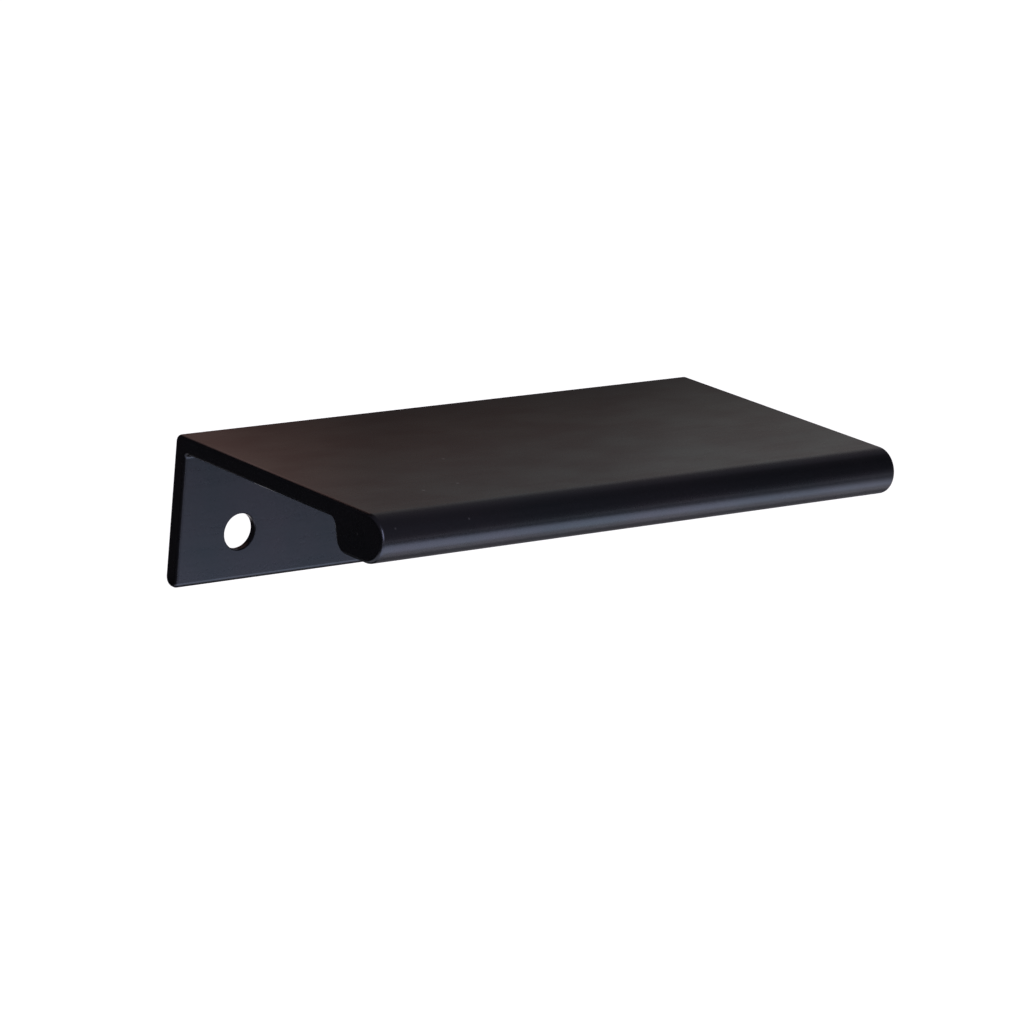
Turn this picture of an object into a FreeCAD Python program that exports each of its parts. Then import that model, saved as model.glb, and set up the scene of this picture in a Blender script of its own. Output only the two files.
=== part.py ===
import FreeCAD, Part
import math
import os
import Sketcher

# Tab pull for the top edge of a drawer front or a door.
#
# It is one cut length of an extruded aluminium section. The section is an upside-down L, whose
# long leg is the tab that passes over the door's edge and whose short leg is the plate that is
# screwed to the door's back. The tab ends in a solid lip with a half-round nose and a hooked back
# for the fingertips. The ends are cut square and their edges rounded, and the plate has two screw
# holes, countersunk from behind.
#
# All sizes are in millimetres. The origin is midway between the two screw holes, on the face of
# the plate that lies against the door. X runs along the pull, the lip points to -Y and Z is up.

NODE = "tab_pull"

SIZES = [
    ("pull_length", 82.5, "cut length of the section"),
    ("pull_depth", 40.85, "back of the plate to the front of the lip"),
    ("pull_height", 19.15, "top of the tab to the foot of the plate"),
    ("tab_wall", 2.2, "thickness of the tab"),
    ("plate_wall", 2.25, "thickness of the screw plate"),
    ("lip_height", 6.0, "thickness of the lip, rounded at the front to half of this"),
    ("lip_flat", 3.7, "flat underneath the lip, between its nose and its heel"),
    ("lip_back_slant", 17.0, "degrees by which the back of the lip leans away from upright"),
    ("heel_radius", 2.0, "lower back corner of the lip"),
    ("root_radius", 1.2, "hollow corner between the lip and the tab"),
    ("inner_radius", 0.5, "hollow corner between the tab and the plate"),
    ("shoulder_radius", 0.9, "outer corner between the tab and the plate"),
    ("foot_rear_radius", 1.2, "rear edge of the plate's foot"),
    ("foot_front_radius", 0.65, "front edge of the plate's foot"),
    ("end_edge_radius", 0.5, "rounding of the edges of both cut ends"),
    ("hole_inset", 9.25, "cut end to the centre of the screw hole beside it, for holes 64 mm apart"),
    ("hole_drop", 12.85, "top of the tab down to the centres of the screw holes"),
    ("hole_diameter", 4.6, "screw hole"),
    ("countersink_diameter", 7.3, "mouth of the countersink on the back of the plate"),
    ("countersink_angle", 90.0, "full angle of the countersink"),
    ("rim_break", 0.12, "bevel that takes the burr off the front rims of the screw holes"),
]

# Two lengths closer than this are the same.
TOLERANCE = 1e-4
# A quarter of a turn, in radians
QUARTER = math.pi / 2

# The sketcher's numbers for a curve's two ends and its centre
START, END, CENTRE = range(1, 4)
# The sketcher's numbers for its level axis, whose start is the sketch's origin, and its upright axis
LEVEL_AXIS, UPRIGHT_AXIS = range(-1, -3, -1)


def make_sheet(document):
    """The spreadsheet that holds every driving size under its own name."""
    sheet = document.addObject("Spreadsheet::Sheet", "Sizes")
    for row, (alias, size, meaning) in enumerate(SIZES, start=1):
        sheet.set("A%d" % row, alias)
        sheet.set("B%d" % row, str(size))
        sheet.setAlias("B%d" % row, alias)
        sheet.set("C%d" % row, meaning)
    document.recompute()
    return sheet


def origin_plane(body, role):
    """One of the body's own origin planes, such as XY_Plane."""
    return next(plane for plane in body.Origin.OriginFeatures if plane.Role == role)


def sketch_on(body, role, name):
    """An empty sketch on one of the body's origin planes."""
    sketch = body.newObject("Sketcher::SketchObject", name)
    sketch.AttachmentSupport = (origin_plane(body, role), [""])
    sketch.MapMode = "FlatFace"
    return sketch


def dimension(sketch, name, expression, kind, *where):
    """A named dimension of a sketch, bound to the spreadsheet."""
    constraint = Sketcher.Constraint(kind, *where, sketch.evalExpression(expression))
    index = sketch.addConstraint(constraint)
    sketch.renameConstraint(index, name)
    sketch.setExpression("Constraints." + name, expression)


def arc(centre_y, centre_z, radius, start, end):
    """An arc of the section, counter-clockwise from its start to its end angle."""
    circle = Part.Circle(FreeCAD.Vector(centre_y, centre_z, 0), FreeCAD.Vector(0, 0, 1), radius)
    return Part.ArcOfCircle(circle, start, end)


def draw_section(body, sheet):
    """The extruded section, seen along X: seven corners joined by seven straight runs."""
    size = {alias: float(sheet.get(alias)) for alias, number, meaning in SIZES}
    slant = math.radians(size["lip_back_slant"])
    top = size["hole_drop"]
    foot = top - size["pull_height"]
    underside = top - size["tab_wall"]
    nose_radius = size["lip_height"] / 2
    nose_y = size["plate_wall"] - size["pull_depth"] + nose_radius
    heel_y = nose_y + size["lip_flat"]
    heel_z = top - size["lip_height"] + size["heel_radius"]
    root_z = underside - size["root_radius"]
    across_lip_back = size["heel_radius"] + size["root_radius"] + (root_z - heel_z) * math.sin(slant)
    root_y = heel_y + across_lip_back / math.cos(slant)

    # Corners in the order of a walk round the outline, with the metal on the left
    # Name, centre, radius, start and end angle, and whether the corner is a hollow one
    corners = [
        ("shoulder", size["plate_wall"] - size["shoulder_radius"], top - size["shoulder_radius"],
         size["shoulder_radius"], 0, QUARTER, False),
        ("nose", nose_y, top - nose_radius, nose_radius, QUARTER, 3 * QUARTER, False),
        ("heel", heel_y, heel_z, size["heel_radius"], 3 * QUARTER, 4 * QUARTER - slant, False),
        ("root", root_y, root_z, size["root_radius"], QUARTER, 2 * QUARTER - slant, True),
        ("inner", -size["inner_radius"], underside - size["inner_radius"],
         size["inner_radius"], 0, QUARTER, True),
        ("foot_front", size["foot_front_radius"], foot + size["foot_front_radius"],
         size["foot_front_radius"], 2 * QUARTER, 3 * QUARTER, False),
        ("foot_rear", size["plate_wall"] - size["foot_rear_radius"], foot + size["foot_rear_radius"],
         size["foot_rear_radius"], 3 * QUARTER, 4 * QUARTER, False),
    ]
    sketch = sketch_on(body, "YZ_Plane", "section")
    corner = {}
    into = {}
    out_of = {}
    way_in = {}
    way_out = {}
    for name, centre_y, centre_z, radius, start, end, hollow in corners:
        curve = arc(centre_y, centre_z, radius, start, end)
        corner[name] = sketch.addGeometry(curve, False)
        into[name] = END if hollow else START
        out_of[name] = START if hollow else END
        way_in[name] = curve.EndPoint if hollow else curve.StartPoint
        way_out[name] = curve.StartPoint if hollow else curve.EndPoint

    # Straight runs, each from one corner to the next and tangent to both
    names = [entry[0] for entry in corners]
    runs = ["top", "lip_bottom", "lip_back", "underside", "door_face", "foot", "back"]
    run = {}
    for run_name, name, following in zip(runs, names, names[1:] + names[:1]):
        segment = Part.LineSegment(way_out[name], way_in[following])
        run[run_name] = sketch.addGeometry(segment, False)
    for run_name, name, following in zip(runs, names, names[1:] + names[:1]):
        leaving = Sketcher.Constraint("Tangent", corner[name], out_of[name], run[run_name], START)
        arriving = Sketcher.Constraint("Tangent", run[run_name], END, corner[following], into[following])
        sketch.addConstraint(leaving)
        sketch.addConstraint(arriving)
    for level in ("top", "lip_bottom", "underside", "foot"):
        sketch.addConstraint(Sketcher.Constraint("Horizontal", run[level]))
    for upright in ("door_face", "back"):
        sketch.addConstraint(Sketcher.Constraint("Vertical", run[upright]))
    sketch.addConstraint(Sketcher.Constraint("PointOnObject", run["door_face"], START, UPRIGHT_AXIS))

    dimension(sketch, "plate_wall", "Sizes.plate_wall",
              "DistanceX", LEVEL_AXIS, START, run["back"], START)
    dimension(sketch, "hole_drop", "Sizes.hole_drop",
              "DistanceY", LEVEL_AXIS, START, run["top"], START)
    dimension(sketch, "pull_height", "Sizes.pull_height",
              "DistanceY", run["foot"], START, run["top"], START)
    dimension(sketch, "tab_wall", "Sizes.tab_wall",
              "DistanceY", run["underside"], START, run["top"], START)
    dimension(sketch, "lip_height", "Sizes.lip_height",
              "DistanceY", run["lip_bottom"], START, run["top"], START)
    dimension(sketch, "nose_centre", "Sizes.pull_depth - Sizes.lip_height / 2",
              "DistanceX", corner["nose"], CENTRE, run["back"], START)
    dimension(sketch, "lip_flat", "Sizes.lip_flat",
              "DistanceX", run["lip_bottom"], START, run["lip_bottom"], END)
    dimension(sketch, "lip_back_slant", "90 deg - Sizes.lip_back_slant * 1 deg",
              "Angle", run["lip_back"])
    for name in names:
        if name != "nose":
            dimension(sketch, name + "_radius", "Sizes." + name + "_radius", "Radius", corner[name])
    return sketch


def edges_of(shape, wanted):
    """The names of the edges of a shape that pass a test."""
    return ["Edge%d" % number for number, edge in enumerate(shape.Edges, start=1) if wanted(edge)]


def extrude(body, section):
    """The bar: the section pushed out equally to both sides of the middle."""
    bar = body.newObject("PartDesign::Pad", "bar")
    bar.Profile = section
    bar.Midplane = True
    bar.setExpression("Length", "Sizes.pull_length")
    section.Visibility = False
    return bar


def round_ends(body, bar, sheet):
    """Rounding along the whole outline of both cut ends."""
    half_length = float(sheet.get("pull_length")) / 2

    def in_a_cut_end(edge):
        return abs(abs(edge.CenterOfMass.x) - half_length) < TOLERANCE

    rounding = body.newObject("PartDesign::Fillet", "rounded_ends")
    rounding.Base = (bar, edges_of(bar.Shape, in_a_cut_end))
    rounding.setExpression("Radius", "Sizes.end_edge_radius")
    return rounding


def drill(body):
    """The screw hole at the +X end, drilled from the back of the plate, and its countersink."""
    centre = sketch_on(body, "XZ_Plane", "hole_centre")
    centre.setExpression("AttachmentOffset.Base.z", "-Sizes.plate_wall")
    circle = Part.Circle(FreeCAD.Vector(1, 0, 0), FreeCAD.Vector(0, 0, 1), 1)
    hole_circle = centre.addGeometry(circle, False)
    centre.addConstraint(Sketcher.Constraint("PointOnObject", hole_circle, CENTRE, LEVEL_AXIS))
    dimension(centre, "from_middle", "Sizes.pull_length / 2 - Sizes.hole_inset",
              "DistanceX", LEVEL_AXIS, START, hole_circle, CENTRE)
    dimension(centre, "hole_diameter", "Sizes.hole_diameter", "Diameter", hole_circle)
    body.Document.recompute()

    hole = body.newObject("PartDesign::Hole", "screw_hole")
    hole.Profile = centre
    hole.Reversed = True
    hole.DepthType = "ThroughAll"
    hole.HoleCutType = "Countersink"
    hole.setExpression("Diameter", "Sizes.hole_diameter")
    hole.setExpression("HoleCutDiameter", "Sizes.countersink_diameter")
    hole.setExpression("HoleCutCountersinkAngle", "Sizes.countersink_angle")
    centre.Visibility = False
    return hole


def mirror(body, hole):
    """The same hole at the other end."""
    pair = body.newObject("PartDesign::Mirrored", "both_screw_holes")
    pair.Originals = [hole]
    pair.MirrorPlane = (origin_plane(body, "YZ_Plane"), [""])
    body.Tip = pair
    return pair


def break_rims(body, pair):
    """A small bevel round the front rim of each screw hole."""

    def on_the_door_face(edge):
        is_round = isinstance(edge.Curve, Part.Circle)
        return is_round and abs(edge.Curve.Axis.y) > 1 - TOLERANCE and abs(edge.CenterOfMass.y) < TOLERANCE

    bevel = body.newObject("PartDesign::Chamfer", "rim_breaks")
    bevel.Base = (pair, edges_of(pair.Shape, on_the_door_face))
    bevel.setExpression("Size", "Sizes.rim_break")
    return bevel


def check_less(before, after):
    """Stops the build if a step that should take metal away has taken none."""
    if not after.Shape.Volume < before.Shape.Volume - TOLERANCE:
        raise RuntimeError(after.Label + " takes nothing off " + before.Label)


def check_document(document, body):
    """Stops the build if anything in the document failed."""
    for item in document.Objects:
        if "Invalid" in item.State or "Error" in item.State:
            raise RuntimeError(item.Label + " failed")
    if body.Shape.isNull() or not body.Shape.isValid() or len(body.Shape.Solids) != 1:
        raise RuntimeError(body.Label + " isn't one sound solid")


def main():
    document = FreeCAD.newDocument("tab_pull_for_a_door_edge")
    sheet = make_sheet(document)
    body = document.addObject("PartDesign::Body", "pull")
    body.Label = NODE
    body.Placement = FreeCAD.Placement()

    section = draw_section(body, sheet)
    bar = extrude(body, section)
    document.recompute()
    rounding = round_ends(body, bar, sheet)
    document.recompute()
    hole = drill(body)
    document.recompute()
    pair = mirror(body, hole)
    document.recompute()
    bevel = break_rims(body, pair)
    body.Tip = bevel
    document.recompute()

    check_less(bar, rounding)
    check_less(rounding, hole)
    check_less(hole, pair)
    check_less(pair, bevel)
    check_document(document, body)
    if not section.FullyConstrained:
        raise RuntimeError("the section is open to change")

    os.makedirs("parts", exist_ok=True)
    body.Shape.exportStep("parts/" + NODE + ".step")
    print(NODE, "volume %.1f mm3" % body.Shape.Volume, body.Shape.BoundBox)


main()
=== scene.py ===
import math

import bmesh
import bpy
from mathutils import Matrix, Quaternion, Vector

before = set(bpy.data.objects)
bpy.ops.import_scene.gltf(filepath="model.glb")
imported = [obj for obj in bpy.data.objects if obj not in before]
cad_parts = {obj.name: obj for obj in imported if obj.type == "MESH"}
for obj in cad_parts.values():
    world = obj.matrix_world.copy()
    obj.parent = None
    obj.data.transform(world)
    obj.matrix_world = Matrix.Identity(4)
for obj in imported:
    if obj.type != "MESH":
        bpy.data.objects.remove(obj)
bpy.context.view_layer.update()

# Tab pull for the top edge of a door or drawer front, in satin black anodised aluminium.
#
# It is one cut length of an extruded section: a solid lip with a half-round nose, a thin tab and
# a screw plate. The frame is the part's own: X along the pull, the lip towards -Y, Z up, and the
# origin midway between the screw holes. Lengths are written in millimetres and used in metres.

MM = 0.001

# The height of the floor, well below the pull, which hangs clear of it as it does on its door
FLOOR = -150


def linear(hex_colour):
    """A written sRGB colour as the linear and opaque colour that a shader takes."""
    channels = [int(hex_colour[start:start + 2], 16) / 255 for start in (1, 3, 5)]
    return [c / 12.92 if c <= 0.04045 else ((c + 0.055) / 1.055) ** 2.4 for c in channels] + [1.0]


def add(tree, kind, settings={}, **inputs):
    """Adds a node, makes its settings, and fills or links its inputs by name or number."""
    node = tree.nodes.new(kind)
    for name, value in settings.items():
        setattr(node, name, value)
    for name, value in inputs.items():
        socket = node.inputs[int(name[1:])] if name[1:].isdigit() else node.inputs[name.replace("_", " ")]
        if isinstance(value, bpy.types.NodeSocket):
            tree.links.new(value, socket)
        else:
            socket.default_value = value
    return node


def new_material(name):
    """A material with an empty node tree."""
    material = bpy.data.materials.new(name)
    material.use_nodes = True
    material.node_tree.nodes.clear()
    return material


def patchwork(tree, place, scale):
    """Soft-edged patches, between zero and one."""
    noise = add(tree, "ShaderNodeTexNoise", Vector=place, Scale=scale, Detail=3.0).outputs["Fac"]
    return add(tree, "ShaderNodeMapRange", Value=noise, From_Min=0.35, From_Max=0.65).outputs["Result"]


def pale_specks(tree, place):
    """One at each of the pale specks seen on the pull, and zero elsewhere.

    Those whose middle is a little off the surface show fainter.
    """
    on_top = [(-22.5, -29.0, 12.85), (-28.5, -30.0, 12.85), (-17.0, -19.5, 12.85)]
    on_nose = [(-28.0, -38.24, 11.6), (-39.0, -38.25, 11.6)]
    on_cut_end = [(-41.43, -34.0, 10.0)]
    # The search for the nearest one starts a metre away, further than any of them.
    nearest = 1.0
    for spot in on_top + on_nose + on_cut_end:
        distance = add(tree, "ShaderNodeVectorMath", {"operation": "DISTANCE"}, _0=place,
                       _1=Vector(spot) * MM).outputs["Value"]
        nearest = add(tree, "ShaderNodeMath", {"operation": "MINIMUM"}, _0=distance, _1=nearest).outputs[0]
    return add(tree, "ShaderNodeMapRange", {"interpolation_type": "SMOOTHSTEP"}, Value=nearest,
               From_Min=0.08 * MM, From_Max=0.28 * MM, To_Min=1.0, To_Max=0.0).outputs["Result"]


def anodised_aluminium():
    """Extruded aluminium, cut to length, etched satin and anodised black.

    The dyed oxide makes it nearly black face on, while at a slant it still shines like bare metal.
    The scale of a pattern is the number of its marks in a metre.
    """
    material = new_material("satin_black_anodised_aluminium")
    tree = material.node_tree
    coordinates = add(tree, "ShaderNodeTexCoord")
    place = coordinates.outputs["Object"]

    # The caustic etch leaves shallow pits that give the sheen its soft grain. Real ones are about
    # 0.05 mm across, and these are drawn 0.4 mm across so that they can be seen.
    pits = add(tree, "ShaderNodeTexNoise", Vector=place, Scale=2500.0, Detail=3.0).outputs["Fac"]

    # The die drags faint straight lines along the bar, about 0.7 mm apart, that streak its highlights.
    stretched = add(tree, "ShaderNodeMapping", Vector=place, Scale=(8.0, 1400.0, 1400.0))
    lines = add(tree, "ShaderNodeTexNoise", Vector=stretched.outputs["Vector"], Scale=1.0,
                Detail=2.0).outputs["Fac"]

    # The saw crosses the cut ends in fine upright strokes, drawn 0.25 mm apart.
    across = add(tree, "ShaderNodeMapping", Vector=place, Scale=(300.0, 4000.0, 300.0))
    strokes = add(tree, "ShaderNodeTexNoise", Vector=across.outputs["Vector"], Scale=1.0,
                  Detail=2.0).outputs["Fac"]
    facing = add(tree, "ShaderNodeSeparateXYZ", Vector=coordinates.outputs["Normal"]).outputs["X"]
    sideways = add(tree, "ShaderNodeMath", {"operation": "ABSOLUTE"}, _0=facing).outputs[0]
    on_end = add(tree, "ShaderNodeMapRange", Value=sideways, From_Min=0.9, From_Max=0.98).outputs["Result"]
    tool_marks = add(tree, "ShaderNodeMix", _0=on_end, _2=lines, _3=strokes).outputs[0]

    # Where the etch bit deeper the lands are rougher and the reflection is broader.
    smoothest = 0.22
    grain_rough = add(tree, "ShaderNodeMath", {"operation": "MULTIPLY_ADD"}, _0=pits, _1=0.08,
                      _2=smoothest).outputs[0]
    rough = add(tree, "ShaderNodeMath", {"operation": "MULTIPLY_ADD"}, _0=tool_marks, _1=0.06,
                _2=grain_rough).outputs[0]

    # The black dye took a little more here than there, in patches of about a centimetre and along
    # the die's lines. The specks took little of it.
    patches = patchwork(tree, place, 90.0)
    dye = add(tree, "ShaderNodeMix", {"data_type": "RGBA"}, _0=patches, _6=linear("#2c3137"),
              _7=linear("#36343b")).outputs[2]
    streaked = add(tree, "ShaderNodeMix", {"data_type": "RGBA"}, _0=lines, _6=dye,
                   _7=linear("#33343a")).outputs[2]
    colour = add(tree, "ShaderNodeMix", {"data_type": "RGBA"}, _0=pale_specks(tree, place), _6=streaked,
                 _7=linear("#78787e")).outputs[2]

    # The oxide film varies a little in thickness, which mottles its sheen at a slant with warmer and
    # duller patches a few millimetres across. They are drawn out along the bar, like the metal's grain.
    drawn_out = add(tree, "ShaderNodeMapping", Vector=place, Scale=(120.0, 260.0, 260.0))
    film = patchwork(tree, drawn_out.outputs["Vector"], 1.0)
    sheen = add(tree, "ShaderNodeMix", {"data_type": "RGBA"}, _0=film, _6=linear("#fdfdfc"),
                _7=linear("#f6f2f1")).outputs[2]

    # Of these marks, only the pits and the saw's strokes have any depth.
    deepest = 0.05 * MM
    etched = add(tree, "ShaderNodeBump", Height=pits, Strength=0.10, Distance=deepest).outputs["Normal"]
    sawn = add(tree, "ShaderNodeMath", {"operation": "MULTIPLY"}, _0=strokes, _1=on_end).outputs[0]
    relief = add(tree, "ShaderNodeBump", Height=sawn, Strength=0.08, Distance=deepest,
                 Normal=etched).outputs["Normal"]
    shader = add(tree, "ShaderNodeBsdfPrincipled", Metallic=1.0, Roughness=rough, Base_Color=colour,
                 Specular_Tint=sheen, Normal=relief)
    add(tree, "ShaderNodeOutputMaterial", Surface=shader.outputs["BSDF"])
    return material


def stage():
    """A wide pale floor."""
    mesh = bpy.data.meshes.new("floor")
    builder = bmesh.new()
    bmesh.ops.create_circle(builder, cap_ends=True, segments=96, radius=2400 * MM,
                            matrix=Matrix.Translation((0, 0, FLOOR * MM)))
    builder.to_mesh(mesh)
    builder.free()
    floor = bpy.data.objects.new("floor", mesh)
    bpy.context.scene.collection.objects.link(floor)
    paper = new_material("white_paper")
    tree = paper.node_tree
    matte = add(tree, "ShaderNodeBsdfDiffuse", Color=linear("#fbfbfa"))
    add(tree, "ShaderNodeOutputMaterial", Surface=matte.outputs["BSDF"])
    mesh.materials.append(paper)


def card(name, builder, tone):
    """A glowing card out of the camera's sight, which only the pull's gloss reflects, as bright as its
    tone.
    """
    mesh = bpy.data.meshes.new(name)
    builder.to_mesh(mesh)
    builder.free()
    holder = bpy.data.objects.new(name, mesh)
    bpy.context.scene.collection.objects.link(holder)
    material = new_material(name)
    tree = material.node_tree
    glow = add(tree, "ShaderNodeEmission", Color=linear(tone), Strength=1.0)
    add(tree, "ShaderNodeOutputMaterial", Surface=glow.outputs["Emission"])
    mesh.materials.append(material)
    holder.visible_camera = False
    holder.visible_diffuse = False
    holder.visible_shadow = False
    return tree, glow


def fade_along(tree, glow, start, end, first, last):
    """Makes a card's glow change from one strength to another between two places along X."""
    place = add(tree, "ShaderNodeSeparateXYZ", Vector=add(tree, "ShaderNodeTexCoord").outputs["Object"])
    fade = add(tree, "ShaderNodeMapRange", Value=place.outputs["X"], From_Min=start * MM,
               From_Max=end * MM, To_Min=first, To_Max=last)
    tree.links.new(fade.outputs["Result"], glow.inputs["Strength"])


def left_screen():
    """A bent card that stands round the left end, so that the cut end reflects nearly black."""
    builder = bmesh.new()
    foot = builder.verts.new(Vector((-1, 152, -140)) * MM)
    head = builder.verts.new(Vector((-1, 152, 100)) * MM)
    builder.edges.new((foot, head))
    bmesh.ops.spin(builder, geom=builder.verts[:] + builder.edges[:], cent=Vector((-41, -18, 0)) * MM,
                   axis=(0, 0, 1), angle=math.radians(162), steps=24)
    card("left_screen", builder, "#4c494c")


def upper_card():
    """A card arched high behind. It keeps the rounding at the cut end dark, and that of the nose dim."""
    builder = bmesh.new()
    left = builder.verts.new(Vector((-260, 300, 185)) * MM)
    right = builder.verts.new(Vector((460, 300, 185)) * MM)
    builder.edges.new((left, right))
    bmesh.ops.spin(builder, geom=builder.verts[:] + builder.edges[:], cent=Vector((0, -20, 10)) * MM,
                   axis=(1, 0, 0), angle=math.radians(32), steps=8)
    tree, glow = card("upper_card", builder, "#8a878d")
    fade_along(tree, glow, 150, 230, 0.11, 1.0)


def nose_card():
    """A card arched close over the lip, which lets the upper half of the nose darken to the right."""
    builder = bmesh.new()
    left = builder.verts.new(Vector((60, -23, 160)) * MM)
    right = builder.verts.new(Vector((300, -23, 160)) * MM)
    builder.edges.new((left, right))
    bmesh.ops.spin(builder, geom=builder.verts[:] + builder.edges[:], cent=Vector((0, -36, 10)) * MM,
                   axis=(1, 0, 0), angle=math.radians(80), steps=16)
    tree, glow = card("nose_card", builder, "#8d8890")
    fade_along(tree, glow, 75, 165, 1.0, 0.35)


def lower_card():
    """A folded card behind and below, so that no lower edge of the pull catches the white floor."""
    builder = bmesh.new()
    fold = [(10, -9), (10, -100), (-37, -100)]
    left = [builder.verts.new(Vector((-60, y, z)) * MM) for y, z in fold]
    right = [builder.verts.new(Vector((180, y, z)) * MM) for y, z in fold]
    builder.faces.new((left[0], left[1], right[1], right[0]))
    builder.faces.new((left[1], left[2], right[2], right[1]))
    tree, glow = card("lower_card", builder, "#808088")
    fade_along(tree, glow, -10, 10, 0.08, 1.0)


def front_card():
    """A grey card on the floor ahead, which the plate's face and the middle of the nose reflect."""
    builder = bmesh.new()
    corners = [(-250, -800), (650, -800), (650, -345), (-250, -345)]
    builder.faces.new([builder.verts.new(Vector((x, y, FLOOR + 3)) * MM) for x, y in corners])
    card("front_card", builder, "#767a82")


def rear_card():
    """A toned card close behind, whose tones the top's sheen picks up."""
    builder = bmesh.new()
    corners = [(-40, 8), (240, 8), (240, 60), (-40, 60)]
    builder.faces.new([builder.verts.new(Vector((x, 30, z)) * MM) for x, z in corners])
    tree, glow = card("rear_card", builder, "#808080")
    place = add(tree, "ShaderNodeSeparateXYZ", Vector=add(tree, "ShaderNodeTexCoord").outputs["Object"])
    rightward = place.outputs["X"]
    upward = place.outputs["Z"]

    along = add(tree, "ShaderNodeMapRange", Value=rightward, From_Min=-15 * MM, From_Max=95 * MM)
    tones = add(tree, "ShaderNodeValToRGB", Fac=along.outputs["Result"])
    stops = [(0.0, "#bf948a"), (0.07, "#a07d74"), (0.24, "#796560"), (0.33, "#7a6661"), (0.62, "#7c716e"),
             (0.76, "#8b8582"), (1.0, "#8f8783")]
    while len(tones.color_ramp.elements) < len(stops):
        tones.color_ramp.elements.new(0.5)
    for element, (position, tone) in zip(tones.color_ramp.elements, stops):
        element.position = position
        element.color = linear(tone)

    # It is warm all the way up at the left, and elsewhere only in a band at half height.
    warmest = 2.5
    warming = add(tree, "ShaderNodeMapRange", Value=upward, From_Min=24 * MM, From_Max=28 * MM,
                  To_Min=0.0, To_Max=warmest).outputs["Result"]
    paling = add(tree, "ShaderNodeMapRange", Value=upward, From_Min=29 * MM, From_Max=33 * MM,
                 To_Min=warmest, To_Max=0.0).outputs["Result"]
    band = add(tree, "ShaderNodeMath", {"operation": "MINIMUM"}, _0=warming, _1=paling).outputs[0]
    past_left = add(tree, "ShaderNodeMapRange", Value=rightward, From_Min=-8 * MM,
                    From_Max=22 * MM).outputs["Result"]
    warmth = add(tree, "ShaderNodeMix", _0=past_left, _2=0.85, _3=band).outputs[0]
    toned = add(tree, "ShaderNodeHueSaturation", Saturation=warmth, Color=tones.outputs["Color"])
    tree.links.new(toned.outputs["Color"], glow.inputs["Color"])

    brighter_upward = add(tree, "ShaderNodeMapRange", Value=upward, From_Min=15 * MM, From_Max=47 * MM,
                          To_Min=0.06, To_Max=1.95)
    tree.links.new(brighter_upward.outputs["Result"], glow.inputs["Strength"])


def lamp(name, kind, spot, aim, strength, colour, **settings):
    """A lamp at a spot, turned to face a point. Both are in millimetres."""
    light = bpy.data.lights.new(name, kind)
    light.energy = strength
    light.color = linear(colour)[:3]
    for setting, value in settings.items():
        setattr(light, setting, value)
    holder = bpy.data.objects.new(name, light)
    spot = Vector(spot) * MM
    aim = Vector(aim) * MM
    holder.location = spot
    holder.rotation_mode = "QUATERNION"
    holder.rotation_quaternion = (aim - spot).to_track_quat("-Z", "Y")
    holder.visible_camera = False
    bpy.context.scene.collection.objects.link(holder)
    return holder


def soft_box(name, spot, aim, width, height, brightness, colour):
    """A flat lamp of a size in millimetres, which the gloss reflects at a brightness of its own."""
    strength = brightness * math.pi * (width * MM) * (height * MM)
    lamp(name, "AREA", spot, aim, strength, colour, shape="RECTANGLE", size=width * MM,
         size_y=height * MM)


def camera():
    """The photograph's view: a long lens, from the front left and a little above."""
    azimuth = math.radians(-41.083)
    elevation = math.radians(15.242)
    distance = 617.204
    back = Vector((math.sin(azimuth) * math.cos(elevation), -math.cos(azimuth) * math.cos(elevation),
                   math.sin(elevation)))
    aim = Vector((5.473, -7.185, 0.442)) * MM
    lens = bpy.data.cameras.new("camera")
    lens.sensor_fit = "HORIZONTAL"
    lens.sensor_width = 36.0
    lens.lens = 171.805
    lens.clip_start = 0.01
    lens.clip_end = 20.0
    viewer = bpy.data.objects.new("camera", lens)
    viewer.location = aim + back * distance * MM
    viewer.rotation_mode = "QUATERNION"
    roll = Quaternion((0, 0, 1), math.radians(5.284))
    viewer.rotation_quaternion = (-back).to_track_quat("-Z", "Y") @ roll
    bpy.context.scene.collection.objects.link(viewer)
    bpy.context.scene.camera = viewer


def surroundings():
    """A dim, slightly warm room above the horizon."""
    world = bpy.data.worlds.new("room")
    world.use_nodes = True
    tree = world.node_tree
    tree.nodes.clear()
    glow = add(tree, "ShaderNodeBackground", Color=linear("#8d8890"), Strength=1.0)
    add(tree, "ShaderNodeOutputWorld", Surface=glow.outputs["Background"])
    bpy.context.scene.world = world


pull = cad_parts["tab_pull"]
pull.data.materials.clear()
pull.data.materials.append(anodised_aluminium())
stage()
surroundings()
left_screen()
upper_card()
nose_card()
lower_card()
front_card()
rear_card()

# The key lamp lights the floor, and the pull's gloss leaves it out.
key = lamp("key", "SUN", (-200, -150, 900), (0, 0, 0), 2.65, "#ffffff", angle=math.radians(90))
key.visible_glossy = False
# The low lamp makes the bright streak along the nose, and the side lamp the thin strip at its end.
soft_box("low", (60, -240, FLOOR + 4), (60, -240, 0), 400, 260, 1.75, "#d8eaff")
soft_box("side", (-88, -575, 274), (-41, -36, 9), 260, 400, 7.0, "#e4eaff")
camera()

scene = bpy.context.scene
scene.view_settings.view_transform = "Standard"
